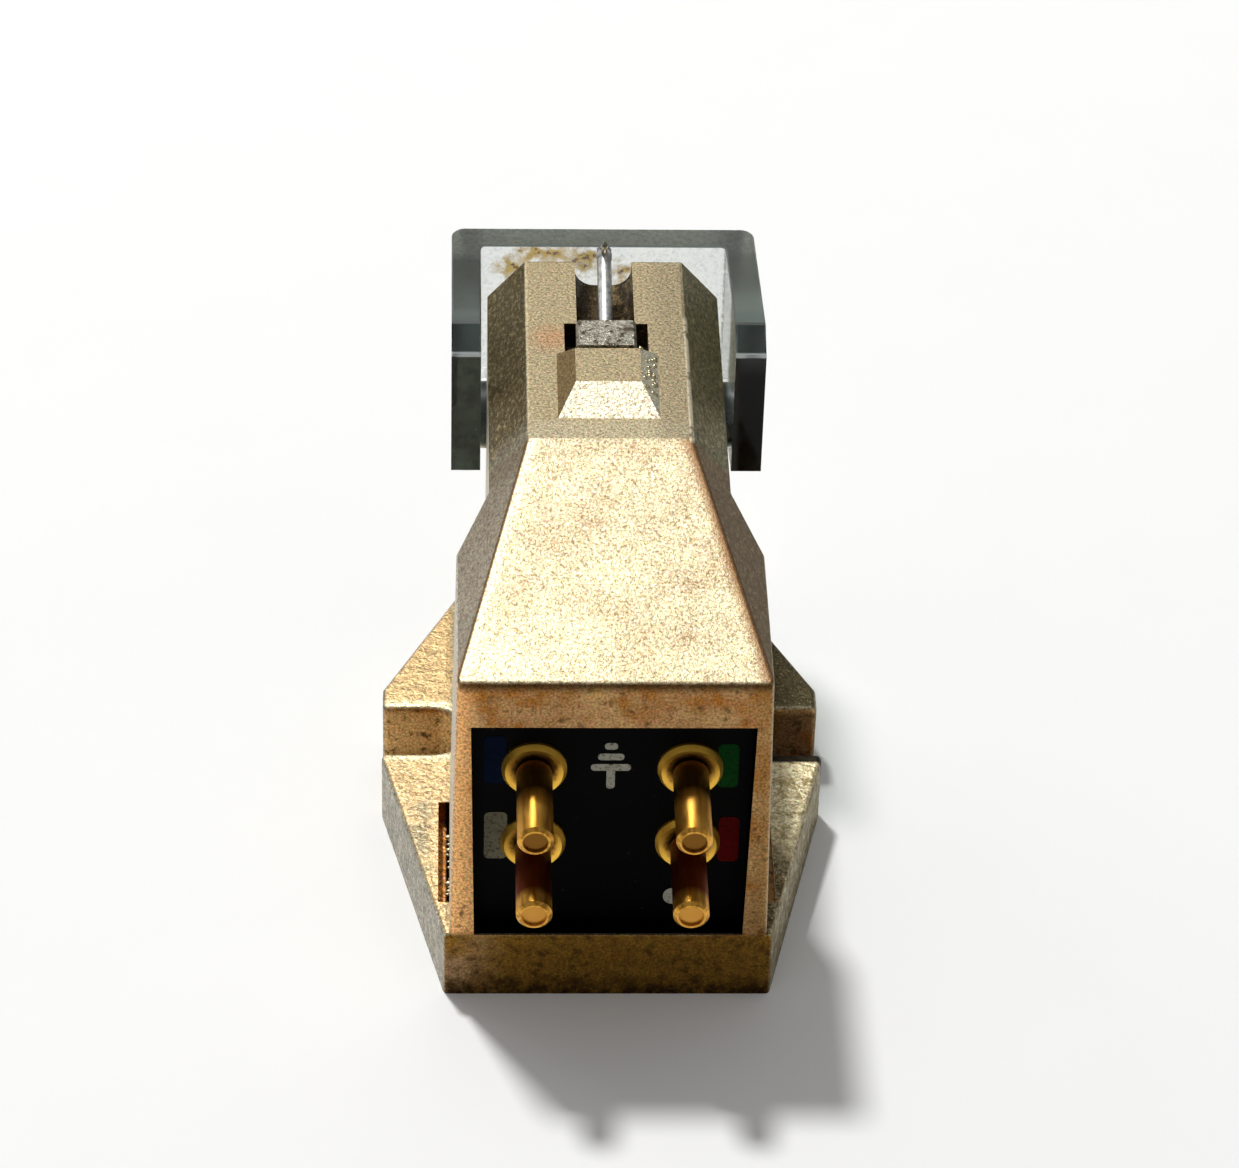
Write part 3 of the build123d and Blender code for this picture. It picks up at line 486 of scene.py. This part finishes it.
def drawn_aluminium():
    """Drawn aluminium tube: bright, with long draw marks, and grey with old adhesive at the tip."""
    material, add, place, facing = surface("drawn_aluminium_tube")
    values = read_surface(add, place, facing)
    streaks = add("Mapping", {"Vector": place, "Scale": (9.0, 0.6, 9.0)})
    drawn = add("TexNoise", {"Vector": streaks, "Scale": 1.0, "Detail": 3.0})
    values["mottle"] = add("TexNoise", {"Vector": place, "Scale": 1 / 0.22, "Detail": 4.0, "Roughness": 0.7})
    tip_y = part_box("cantilever")[1].y / MM
    color = blend(add, drawn, linear("#B0B0AD"), linear("#EDEEEC"))
    color = blend(add, zone(add, values, [("mottle", 0.50, 0.38)], 0.6), color, linear("#77757A"))
    dulled = zone(add, values, [("y", tip_y - 1.1, tip_y - 0.4), ("mottle", 0.40, 0.56)])
    color = blend(add, dulled, color, linear("#4E473C"))
    rough = add("MapRange", {"Value": drawn, "To Min": 0.34, "To Max": 0.52})
    bump = add("Bump", {"Height": values["mottle"], "Strength": 1.0, "Distance": 0.014 * MM})
    shader = add("BsdfPrincipled", {"Base Color": color, "Metallic": 1.0, "Roughness": rough, "Normal": bump})
    add("OutputMaterial", {"Surface": shader})
    return material


# Dried adhesive on the inner face of the guard's front wall: middle across and up, and reach, mm.
ADHESIVE_SPLASHES = (
    (-3.4, 16.6, 0.75), (-1.9, 17.1, 0.9), (-0.8, 16.8, 0.9), (0.75, 16.3, 0.7), (-2.7, 17.3, 0.6),
)

# Zones of the guard's arms, painted shade by the way their faces turn: grey on top, dark on the end chamfers,
# rear ends nearly black; dirt on their inner sides.
GUARD_ZONES = (
    ((("seen", 0.3, 0.7), ("y", 10.4, 9.6)), "#4C534F", 0.95),
    ((("nz", 0.9, 0.97), ("x", 4.0, 4.5), ("y", 10.4, 9.6)), "#969E9A", 0.9),
    ((("nz", 0.9, 0.97), ("y", 6.6, 6.2)), "#808A86", 0.95),
    ((("x", -4.2, -4.5), ("nx", 0.7, 0.9), ("dirt", 0.42, 0.58)), "#A8A48A", 0.5),
    ((("x", 4.2, 4.5), ("nx", -0.7, -0.9), ("dirt", 0.36, 0.54)), "#7A765C", 1.0),
    ((("seen", 1.1, 1.3),), "#242D2E", 0.97),
    ((("seen", 0.3, 0.7), ("y", 5.4, 5.0), ("nz", 0.5, 0.3)), "#060805", 1.0),
    ((("seen", 0.3, 0.7), ("y", 5.4, 5.0), ("nz", 0.5, 0.3), ("haze", 0.46, 0.60)), "#151B12", 0.7),
    ((("seen", 0.3, 0.7), ("x", 3.0, 4.0), ("y", 5.4, 5.0), ("nz", 0.5, 0.3)), "#000000", 1.0),
)


def adhesive_share(add, place, values):
    """Share of the guard's inner front face under dried adhesive: patchy round a few splashes."""
    wall_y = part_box("stylus_guard")[1].y / MM - GUARD_FRONT_WALL
    shake = add("TexNoise", {"Vector": place, "Scale": 1 / 0.45, "Detail": 3.0}, "Color")
    shake = add("VectorMath", {0: shake, 1: (0.5, 0.5, 0.5)}, operation="SUBTRACT")
    ragged = add("VectorMath", {0: shake, 1: (1.6, 1.6, 1.6), 2: place}, operation="MULTIPLY_ADD")
    near = 0.0
    for x, z, reach in ADHESIVE_SPLASHES:
        gap = add("VectorMath", {0: ragged, 1: (x, wall_y, z)}, "Value", operation="DISTANCE")
        near = add("MapRange", {
            "Value": gap, "From Min": reach, "From Max": 0.0, "To Min": near, "To Max": 1.0,
        })
    patches = add("TexNoise", {"Vector": place, "Scale": 1 / 0.4, "Detail": 5.0, "Roughness": 0.7})
    spots = add("TexNoise", {"Vector": place, "Scale": 1 / 0.14, "Detail": 3.0})
    values["patches"] = add("Math", {0: near, 1: patches}, operation="MULTIPLY")
    values["drops"] = add("Math", {0: near, 1: spots}, operation="MULTIPLY")
    on_wall = [("patches", 0.05, 0.36), ("ny", -0.8, -0.95), ("y", wall_y - 0.2, wall_y - 0.1)]
    return zone(add, values, on_wall, 0.95)


def smoked_acrylic():
    """Smoked clear acrylic, moulded: clear walls, a matt rim worn rough, and arms painted darker by the way
    their faces turn, as painted shade, with ends nearly black.

    Brown patches of dried adhesive cling to the inner face of its front wall. Lamps shine through it.
    """
    material, add, place, facing = surface("smoked_clear_acrylic")
    values = read_surface(add, place, facing)
    low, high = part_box("stylus_guard")
    rear_y, top_z = low.y / MM, high.z / MM
    values["seen"] = add("Math", {0: values["nz"], 1: values["ny"]}, operation="SUBTRACT")
    values["fold"] = away_from(add, values["z"], top_z - GUARD_END_CHAMFER)
    haze = add("TexNoise", {"Vector": place, "Scale": 1 / 0.8, "Detail": 5.0, "Roughness": 0.7})
    values["haze"] = haze
    values["dirt"] = add("TexNoise", {"Vector": place, "Scale": 1 / 0.16, "Detail": 4.0, "Roughness": 0.7})
    color = blend(add, haze, linear("#F8FAF8"), linear("#FFFFFF"))
    color = blend(add, zone(add, values, [("dirt", 0.50, 0.68)], 0.4), color, linear("#8C8C7E"))
    rim_color = blend(add, zone(add, values, [("dirt", 0.35, 0.65)]), linear("#868B83"), linear("#E4E6DE"))
    color = blend(add, zone(add, values, [("nz", 0.4, 0.8)], 0.9), color, rim_color)
    color = lay_zones(add, values, GUARD_ZONES, color)
    pads = zone(add, values, [("off", 4.62, 4.50), ("y", rear_y + 3.4, rear_y + 3.2)], 0.95)
    color = blend(add, pads, color, linear("#20251F"))
    stain = adhesive_share(add, place, values)
    brown = blend(add, zone(add, values, [("drops", 0.34, 0.44)]), linear("#DCAE34"), linear("#6A360C"))
    color = blend(add, stain, color, brown)
    # Painted highlight: a white line along the lower edge of each arm's end chamfer.
    fold_line = [("fold", 0.10, 0.06), ("ny", -0.3, -0.5), ("y", rear_y + 0.2, rear_y + 0.1)]
    edge_glint = zone(add, values, fold_line, 0.9)
    color = blend(add, edge_glint, color, linear("#F4F7FA"))
    hidden = add("Math", {0: stain, 1: edge_glint}, operation="MAXIMUM")
    clear = add("MapRange", {"Value": hidden, "To Min": 1.0, "To Max": 0.45})
    rim = zone(add, values, [("nz", 0.4, 0.8)], 0.35)
    rough = add("MapRange", {"Value": haze, "From Min": 0.3, "From Max": 0.8, "To Min": 0.03, "To Max": 0.12})
    rough = add("Math", {0: rough, 1: rim}, operation="ADD")
    shader = add("BsdfPrincipled", {
        "Base Color": color, "Roughness": rough, "IOR": 1.49, "Specular IOR Level": 0.1,
        "Transmission Weight": clear,
    })
    open_way = add("BsdfTransparent", {"Color": linear("#F2F4F3")})
    lamp_ray = add("LightPath", {}, "Is Shadow Ray")
    shader = add("MixShader", {0: lamp_ray, 1: shader, 2: open_way})
    smoke = add("VolumeAbsorption", {"Color": linear("#D0D5D2"), "Density": 380.0})
    add("OutputMaterial", {"Surface": shader, "Volume": smoke})
    return material


def plain_metal(name, dark, light, grain_mm, rough, bump_mm):
    """Small inner metal part: a grain between two tones, with a matching roughness and relief."""
    material, add, place, _ = surface(name)
    grain = add("TexNoise", {"Vector": place, "Scale": 1 / grain_mm, "Detail": 3.0})
    color = blend(add, grain, linear(dark), linear(light))
    gloss = add("MapRange", {"Value": grain, "To Min": rough - 0.07, "To Max": rough + 0.07})
    bump = add("Bump", {"Height": grain, "Strength": 1.0, "Distance": bump_mm * MM})
    shader = add("BsdfPrincipled", {"Base Color": color, "Metallic": 1.0, "Roughness": gloss, "Normal": bump})
    add("OutputMaterial", {"Surface": shader})
    return material


def butyl_rubber():
    """Moulded butyl rubber: soft black, dull, with a fine bloom."""
    material, add, place, _ = surface("moulded_butyl_rubber")
    bloom = add("TexNoise", {"Vector": place, "Scale": 1 / 0.1, "Detail": 3.0})
    color = blend(add, bloom, linear("#161615"), linear("#34332F"))
    bump = add("Bump", {"Height": bloom, "Strength": 1.0, "Distance": 0.006 * MM})
    shader = add("BsdfPrincipled", {
        "Base Color": color, "Roughness": 0.75, "Specular IOR Level": 0.3, "Normal": bump,
    })
    add("OutputMaterial", {"Surface": shader})
    return material


def enamelled_wire():
    """Enamelled copper wire: red-brown lacquer with a glossy skin."""
    material, add, place, _ = surface("enamelled_copper_wire")
    lacquer = add("TexNoise", {"Vector": place, "Scale": 1 / 0.25, "Detail": 2.0})
    color = blend(add, lacquer, linear("#7A3519"), linear("#A65A2C"))
    shader = add("BsdfPrincipled", {
        "Base Color": color, "Metallic": 0.6, "Roughness": 0.28, "Coat Weight": 0.6,
    })
    add("OutputMaterial", {"Surface": shader})
    return material


def wound_copper():
    """Coil of fine copper wire: turns lie side by side, 0.023 mm apart."""
    material, add, place, _ = surface("wound_copper_wire")
    waves = {"Vector": place, "Scale": WAVE_BAND_DIAGONAL / 0.02267, "Distortion": 0.6}
    turns = add("TexWave", waves, "Fac", bands_direction="DIAGONAL")
    color = blend(add, turns, linear("#6E3416"), linear("#D08A52"))
    bump = add("Bump", {"Height": turns, "Strength": 1.0, "Distance": 0.015 * MM})
    shader = add("BsdfPrincipled", {"Base Color": color, "Metallic": 1.0, "Roughness": 0.35, "Normal": bump})
    add("OutputMaterial", {"Surface": shader})
    return material


def diamond():
    """Cut diamond: clear and bright, a little yellow, with faint clouds."""
    material, add, place, _ = surface("cut_diamond")
    cloud = add("TexNoise", {"Vector": place, "Scale": 1 / 0.15, "Detail": 2.0})
    color = blend(add, cloud, linear("#E8D9B4"), linear("#F6EFDC"))
    shader = add("BsdfPrincipled", {
        "Base Color": color, "Roughness": 0.04, "IOR": 2.42, "Transmission Weight": 1.0,
    })
    add("OutputMaterial", {"Surface": shader})
    return material


def brushed_paint(name, code):
    """Paint dabbed on by hand: matt, uneven in depth, with the black panel showing through."""
    material, add, place, _ = surface(name)
    streaks = add("Mapping", {"Vector": place, "Scale": (2.2, 1.0, 7.0)})
    strokes = add("TexNoise", {"Vector": streaks, "Scale": 1.0, "Detail": 3.0})
    gaps = add("TexNoise", {"Vector": place, "Scale": 1 / 0.13, "Detail": 3.0, "Roughness": 0.7})
    thin = add("MapRange", {"Value": gaps, "From Min": 0.46, "From Max": 0.34, "To Max": 0.85})
    paint = linear(code)
    worn = [share * 0.55 for share in paint[:3]] + [1.0]
    color = blend(add, strokes, worn, paint)
    color = blend(add, thin, color, linear("#0A0A0A"))
    bump = add("Bump", {"Height": strokes, "Strength": 0.7, "Distance": 0.01 * MM})
    shader = add("BsdfPrincipled", {
        "Base Color": color, "Roughness": 0.6, "Specular IOR Level": 0.03, "Normal": bump,
    })
    add("OutputMaterial", {"Surface": shader})
    return material


def table_top():
    """Plain white matt sheet under the object."""
    material, add, place, _ = surface("white_matt_sheet")
    fibre = add("TexNoise", {"Vector": place, "Scale": 1 / 4.0, "Detail": 3.0})
    color = blend(add, fibre, linear("#FAFAF9"), linear("#FCFCFB"))
    shader = add("BsdfPrincipled", {"Base Color": color, "Roughness": 0.8, "Specular IOR Level": 0.1})
    add("OutputMaterial", {"Surface": shader})
    return material


def dress(material, *nodes):
    """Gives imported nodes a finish."""
    for name in nodes:
        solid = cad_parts[name]
        if not solid.material_slots:
            solid.data.materials.append(material)
        for slot in solid.material_slots:
            slot.material = material


def new_block(name, low, high):
    """Block between two corners, its place in its mesh, as the only selected and active object."""
    bpy.ops.object.select_all(action="DESELECT")
    middle = (Vector(low) + Vector(high)) / 2
    bpy.ops.mesh.primitive_cube_add(size=1, location=middle, scale=Vector(high) - Vector(low))
    bpy.ops.object.transform_apply(location=True, rotation=True, scale=True)
    piece = bpy.context.object
    piece.name = name
    return piece


def bevel_edges(piece, chosen, width, segments):
    """Rounds the edges of the piece that the test chooses by their two ends."""
    bpy.context.tool_settings.mesh_select_mode = (False, True, False)
    mesh = piece.data
    for part in (mesh.vertices, mesh.edges, mesh.polygons):
        part.foreach_set("select", [False] * len(part))
    for edge in mesh.edges:
        edge.select = chosen(*(mesh.vertices[i].co for i in edge.vertices))
    bpy.ops.object.mode_set(mode="EDIT")
    bpy.ops.mesh.bevel(offset=width, segments=segments, affect="EDGES")
    bpy.ops.object.mode_set(mode="OBJECT")


def runs_along_y(a, b):
    """True for an edge that is parallel to Y."""
    return abs(a.x - b.x) < SAME_PLACE and abs(a.z - b.z) < SAME_PLACE


def paint_bar(name, x, z, width, height, corner=PAINT_CORNER, depth=PAINT_THICKNESS):
    """Thin bar of paint on the panel's face with rounded corners, from its middle and size in mm."""
    face_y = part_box("pin_plate")[0].y
    low = Vector(((x - width / 2) * MM, face_y - depth * MM, (z - height / 2) * MM))
    high = Vector(((x + width / 2) * MM, face_y + depth * MM / 2, (z + height / 2) * MM))
    bar = new_block(name, low, high)
    bevel_edges(bar, runs_along_y, corner * MM, PAINT_CORNER_STEPS)
    return bar


def join(pieces, name):
    """One object of several, under a new name."""
    bpy.ops.object.select_all(action="DESELECT")
    for piece in pieces:
        piece.select_set(True)
    bpy.context.view_layer.objects.active = pieces[0]
    bpy.ops.object.join()
    pieces[0].name = name
    return pieces[0]


def fit(piece, material, body):
    """Finishes a new piece: its material and the body it rides on."""
    piece.data.materials.clear()
    piece.data.materials.append(material)
    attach(piece, body)


def paint_marks():
    """Four channel colours beside the pins, an upside-down earth sign between them, and a dot."""
    for name, (x, z, width, height, code) in PAINT_PATCHES.items():
        fit(paint_bar(name, x, z, width, height), brushed_paint(name + "_paint", code), "cartridge")
    x, z = EARTH_PLACE
    width, height = EARTH_STEM
    stem_end = width * ROUND_END
    bars = [paint_bar("earth_stem", x, z + height / 2, width, height, stem_end, EARTH_STEM_THICKNESS)]
    for length, rise in EARTH_BARS:
        bars.append(paint_bar("earth_bar", x, z + rise, length, EARTH_STROKE, EARTH_STROKE * ROUND_END))
    fit(join(bars, "mark_earth"), brushed_paint("mark_earth_paint", EARTH_PAINT), "cartridge")
    x, z = DOT_PLACE
    dot = paint_bar("mark_dot", x, z, DOT_WIDTH, DOT_WIDTH, DOT_WIDTH * ROUND_END)
    fit(dot, brushed_paint("mark_dot_paint", EARTH_PAINT), "cartridge")


def bead(name, place, radius, stretch, turn, seed):
    """Uneven bead: a stretched ball turned about Y, its skin pushed in and out by chance. Sizes in mm."""
    bpy.ops.object.select_all(action="DESELECT")
    bpy.ops.mesh.primitive_ico_sphere_add(
        subdivisions=2, radius=radius * MM, location=Vector(place) * MM, rotation=(0, turn, 0), scale=stretch
    )
    bpy.ops.object.transform_apply(location=True, rotation=True, scale=True)
    bpy.ops.object.mode_set(mode="EDIT")
    bpy.ops.mesh.select_all(action="SELECT")
    bpy.ops.transform.vertex_random(offset=radius * MM * BEAD_UNEVENNESS, seed=seed)
    bpy.ops.object.mode_set(mode="OBJECT")
    bpy.ops.object.shade_smooth()
    bpy.context.object.name = name
    return bpy.context.object


def raise_blisters():
    """Blisters where the plating has lifted on the right side of the boss."""
    chance = Random(BLISTER_SEED)
    foot_x, top_x = BOSS_SIDE_X
    foot_z, top_z = BOSS_SIDE_Z
    tilt = atan2(top_z - foot_z, foot_x - top_x)
    beads = []
    for number in range(BLISTER_COUNT):
        rise = chance.uniform(*BLISTER_RISE)
        x = foot_x + (top_x - foot_x) * rise
        z = foot_z + (top_z - foot_z) * rise
        place = (x, chance.uniform(*BLISTER_RUN), z)
        beads.append(bead("blister", place, chance.uniform(*BLISTER_RADIUS), BLISTER_STRETCH, tilt, number))
    skin = plain_metal("lifted_champagne_plate", "#9A8656", "#F6EBCB", 0.08, 0.27, 0.006)
    fit(join(beads, "plating_blisters"), skin, "cartridge")


def raise_burrs():
    """Ragged burrs of plating on the inner edge of the left relief slit."""
    chance = Random(BURR_SEED)
    beads = []
    for number in range(BURR_COUNT):
        place = (chance.uniform(*BURR_X), chance.uniform(*BURR_RUN), chance.uniform(*BURR_Z))
        beads.append(bead("burr", place, chance.uniform(*BURR_RADIUS), BURR_STRETCH, 0, number))
    skin = plain_metal("ragged_champagne_plate", "#B49A66", "#F3E6C6", 0.08, 0.4, 0.01)
    fit(join(beads, "slit_burrs"), skin, "cartridge")


def packed_dirt():
    """Old dirt packed in a gap: brown and dull, with darker crumbs."""
    material, add, place, _ = surface("packed_brown_dirt")
    crumbs = add("TexNoise", {"Vector": place, "Scale": 1 / 0.25, "Detail": 4.0, "Roughness": 0.7})
    dark = zone(add, {"crumbs": crumbs}, [("crumbs", 0.50, 0.40)], 0.8)
    color = blend(add, crumbs, linear("#7A5226"), linear("#B88A54"))
    color = blend(add, dark, color, linear("#342C14"))
    bump = add("Bump", {"Height": crumbs, "Strength": 1.0, "Distance": 0.05 * MM})
    shader = add("BsdfPrincipled", {
        "Base Color": color, "Roughness": 0.9, "Specular IOR Level": 0.2, "Normal": bump,
    })
    add("OutputMaterial", {"Surface": shader})
    return material


def pack_slit():
    """Dirt that fills the right relief slit to just under the top of the ear."""
    low, high = (Vector(corner) * MM for corner in SLIT_DIRT)
    fit(new_block("slit_dirt", low, high), packed_dirt(), "cartridge")


def cured_adhesive():
    """Old cured adhesive: grey with dust, glossy and clouded."""
    material, add, place, _ = surface("cured_grey_adhesive")
    cloud = add("TexNoise", {"Vector": place, "Scale": 1 / 0.12, "Detail": 3.0})
    color = blend(add, cloud, linear("#57554F"), linear("#C4C3BE"))
    bump = add("Bump", {"Height": cloud, "Strength": 1.0, "Distance": 0.012 * MM})
    shader = add("BsdfPrincipled", {"Base Color": color, "Roughness": 0.3, "IOR": 1.5, "Normal": bump})
    add("OutputMaterial", {"Surface": shader})
    return material


def bond_stylus():
    """Bead of adhesive that holds the stylus in the cantilever."""
    drop = bead("stylus_adhesive", ADHESIVE_PLACE, ADHESIVE_RADIUS, ADHESIVE_STRETCH, 0, ADHESIVE_SEED)
    fit(drop, cured_adhesive(), "stylus")


def dress_solids():
    """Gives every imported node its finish."""
    dress(plated_casting(), "body_housing")
    dress(moulded_panel(), "pin_plate")
    channels = ("left_signal", "left_return", "right_signal", "right_return")
    dress(gold_plate(), *("pin_" + channel for channel in channels))
    dress(enamelled_wire(), *("lead_" + channel for channel in channels))
    dress(soft_iron(), "front_yoke", "rear_yoke", "pole_piece")
    dress(plain_metal("nickel_plated_magnet", "#8E8F90", "#B9BABB", 0.3, 0.25, 0.003), "magnet")
    dress(plain_metal("black_oxide_steel", "#1C1C1E", "#3A3A3D", 0.1, 0.4, 0.004), "set_screw")
    dress(plain_metal("spring_steel_wire", "#9A9A9A", "#C9C9C9", 0.05, 0.2, 0.002), "suspension_wire")
    dress(plain_metal("annealed_nickel_iron", "#7C7974", "#A29E97", 0.12, 0.4, 0.005), "armature")
    dress(butyl_rubber(), "damper")
    dress(wound_copper(), "coil_left", "coil_right")
    dress(drawn_aluminium(), "cantilever")
    dress(diamond(), "stylus_tip")
    dress(smoked_acrylic(), "stylus_guard")


def lay_floor():
    """White floor under the mounting face."""
    bpy.ops.object.select_all(action="DESELECT")
    bpy.ops.mesh.primitive_plane_add(size=FLOOR_WIDTH, location=(0, 0, CAD_BOX[0].z))
    floor = bpy.context.object
    floor.name = "floor"
    floor.data.materials.append(table_top())


def add_lamp(name, place, width, power):
    """Round area lamp that looks at the object."""
    lamp = bpy.data.lights.new(name, "AREA")
    lamp.shape = "DISK"
    lamp.size = width
    lamp.energy = power
    holder = bpy.data.objects.new(name, lamp)
    holder.matrix_world = Vector(place).to_track_quat("Z", "Y").to_matrix().to_4x4()
    holder.location = place
    bpy.context.scene.collection.objects.link(holder)


def light_room():
    """Dim room, paler overhead, with a key lamp and a soft fill."""
    world = bpy.data.worlds.new("studio")
    bpy.context.scene.world = world
    world.use_nodes = True
    tree = world.node_tree
    tree.nodes.clear()
    add = partial(node, tree)
    direction = add("TexCoord", {}, "Generated")
    up = add("SeparateXYZ", {"Vector": direction}, "Z")
    level = add("MapRange", {"Value": up, "To Min": ROOM_LOW, "To Max": ROOM_HIGH})
    sky = add("Background", {"Color": linear("#FFFFFF"), "Strength": level})
    add("OutputWorld", {"Surface": sky})
    add_lamp("key", Vector(KEY_DIRECTION).normalized() * KEY_DISTANCE, KEY_WIDTH, KEY_POWER)
    add_lamp("fill", FILL_PLACE, FILL_WIDTH, FILL_POWER)


def place_camera():
    """Camera at the photograph's place, a little turned about its axis."""
    yaw, pitch, roll = radians(VIEW_YAW), radians(VIEW_PITCH), radians(VIEW_ROLL)
    forward = Vector((sin(yaw) * cos(pitch), cos(yaw) * cos(pitch), -sin(pitch)))
    level = Vector((cos(yaw), -sin(yaw), 0))
    upright = level.cross(forward)
    right = level * cos(roll) + upright * sin(roll)
    up = upright * cos(roll) - level * sin(roll)
    camera = bpy.data.cameras.new("camera")
    camera.sensor_fit = "HORIZONTAL"
    camera.sensor_width = SENSOR_WIDTH
    camera.lens = LENS
    camera.clip_start = MM
    holder = bpy.data.objects.new("camera", camera)
    turned = Matrix((right, up, -forward)).transposed().to_4x4()
    holder.matrix_world = Matrix.Translation((Vector(VIEW_TARGET) - forward * VIEW_DISTANCE) * MM) @ turned
    bpy.context.scene.collection.objects.link(holder)
    bpy.context.scene.camera = holder


dress_solids()
paint_marks()
raise_blisters()
raise_burrs()
pack_slit()
bond_stylus()
lay_floor()
light_room()
place_camera()
bpy.context.scene.view_settings.view_transform = "Standard"
